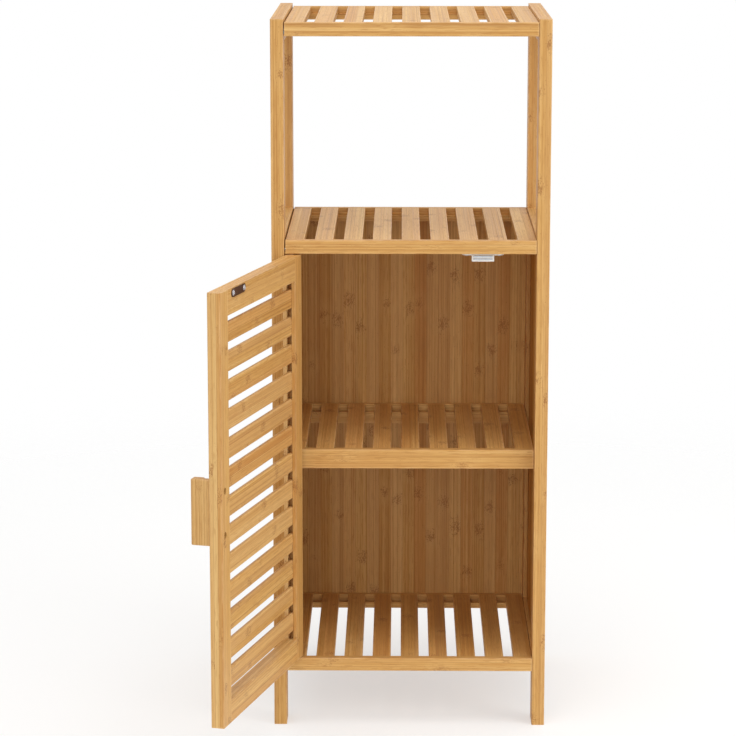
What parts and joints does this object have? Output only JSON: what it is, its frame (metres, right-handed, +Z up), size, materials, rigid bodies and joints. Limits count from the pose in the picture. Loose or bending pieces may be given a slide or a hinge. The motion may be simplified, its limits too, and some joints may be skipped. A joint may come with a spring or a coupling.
{
  "type": "bathroom cabinet",
  "caption": "Tall free-standing bamboo bathroom cabinet with slatted shelves, an open bay above and a cupboard below behind a pivoting slatted door with a magnetic catch.",
  "frame": {"origin": "on the floor, under the middle of the carcass without its door", "axes": "+Z up, -Y towards the front where the door opens, +X to the right as seen from the front"},
  "size_m": [0.4523, 0.6362, 0.95],
  "materials": {
    "bamboo": "clear satin lacquer",
    "zinc_steel": "zinc plated",
    "pin_steel": "bright drawn",
    "bright_chrome": "polished",
    "dark_plate": "satin black",
    "white_plastic": "moulded",
    "brown_plastic": "moulded",
    "ferrite": "sintered, matt"
  },
  "bodies": {
    "carcass": {"back_panel": "bamboo", "bottom_pivot_bush": "brown_plastic", "bottom_shelf_front_rail": "bamboo", "bottom_shelf_rear_rail": "bamboo", "bottom_shelf_slats": "bamboo", "cabinet_top_front_rail": "bamboo", "cabinet_top_rear_rail": "bamboo", "cabinet_top_slats": "bamboo", "catch_housing": "white_plastic", "catch_magnet": "ferrite", "catch_pole_plates": "pin_steel", "catch_screws": "zinc_steel", "front_left_post": "bamboo", "front_right_post": "bamboo", "inner_shelf_front_rail": "bamboo", "inner_shelf_rear_rail": "bamboo", "inner_shelf_slats": "bamboo", "left_bottom_rail": "bamboo", "left_frame_screws": "zinc_steel", "left_mid_rail": "bamboo", "left_side_panel": "bamboo", "left_top_rail": "bamboo", "rear_left_post": "bamboo", "rear_right_post": "bamboo", "right_bottom_rail": "bamboo", "right_frame_screws": "zinc_steel", "right_mid_rail": "bamboo", "right_side_panel": "bamboo", "right_top_rail": "bamboo", "top_pivot_bush": "brown_plastic", "top_shelf_front_rail": "bamboo", "top_shelf_rear_rail": "bamboo", "top_shelf_slats": "bamboo"},
    "door": {"door_hinge_stile": "bamboo", "door_free_stile": "bamboo", "door_top_rail": "bamboo", "door_bottom_rail": "bamboo", "door_slats": "bamboo", "door_handle": "bamboo", "handle_screws": "zinc_steel", "strike_plate": "dark_plate", "strike_plate_screws": "bright_chrome", "door_top_pivot_pin": "pin_steel", "door_bottom_pivot_pin": "pin_steel"}
  },
  "joints": [
    {"name": "door_hinge", "type": "hinge", "parent": "carcass", "child": "door", "pos_m": [-0.1565, -0.16, 0.3685], "axis": [0, 0, 1], "range_deg": [-14.5, 105.5]}
  ]
}
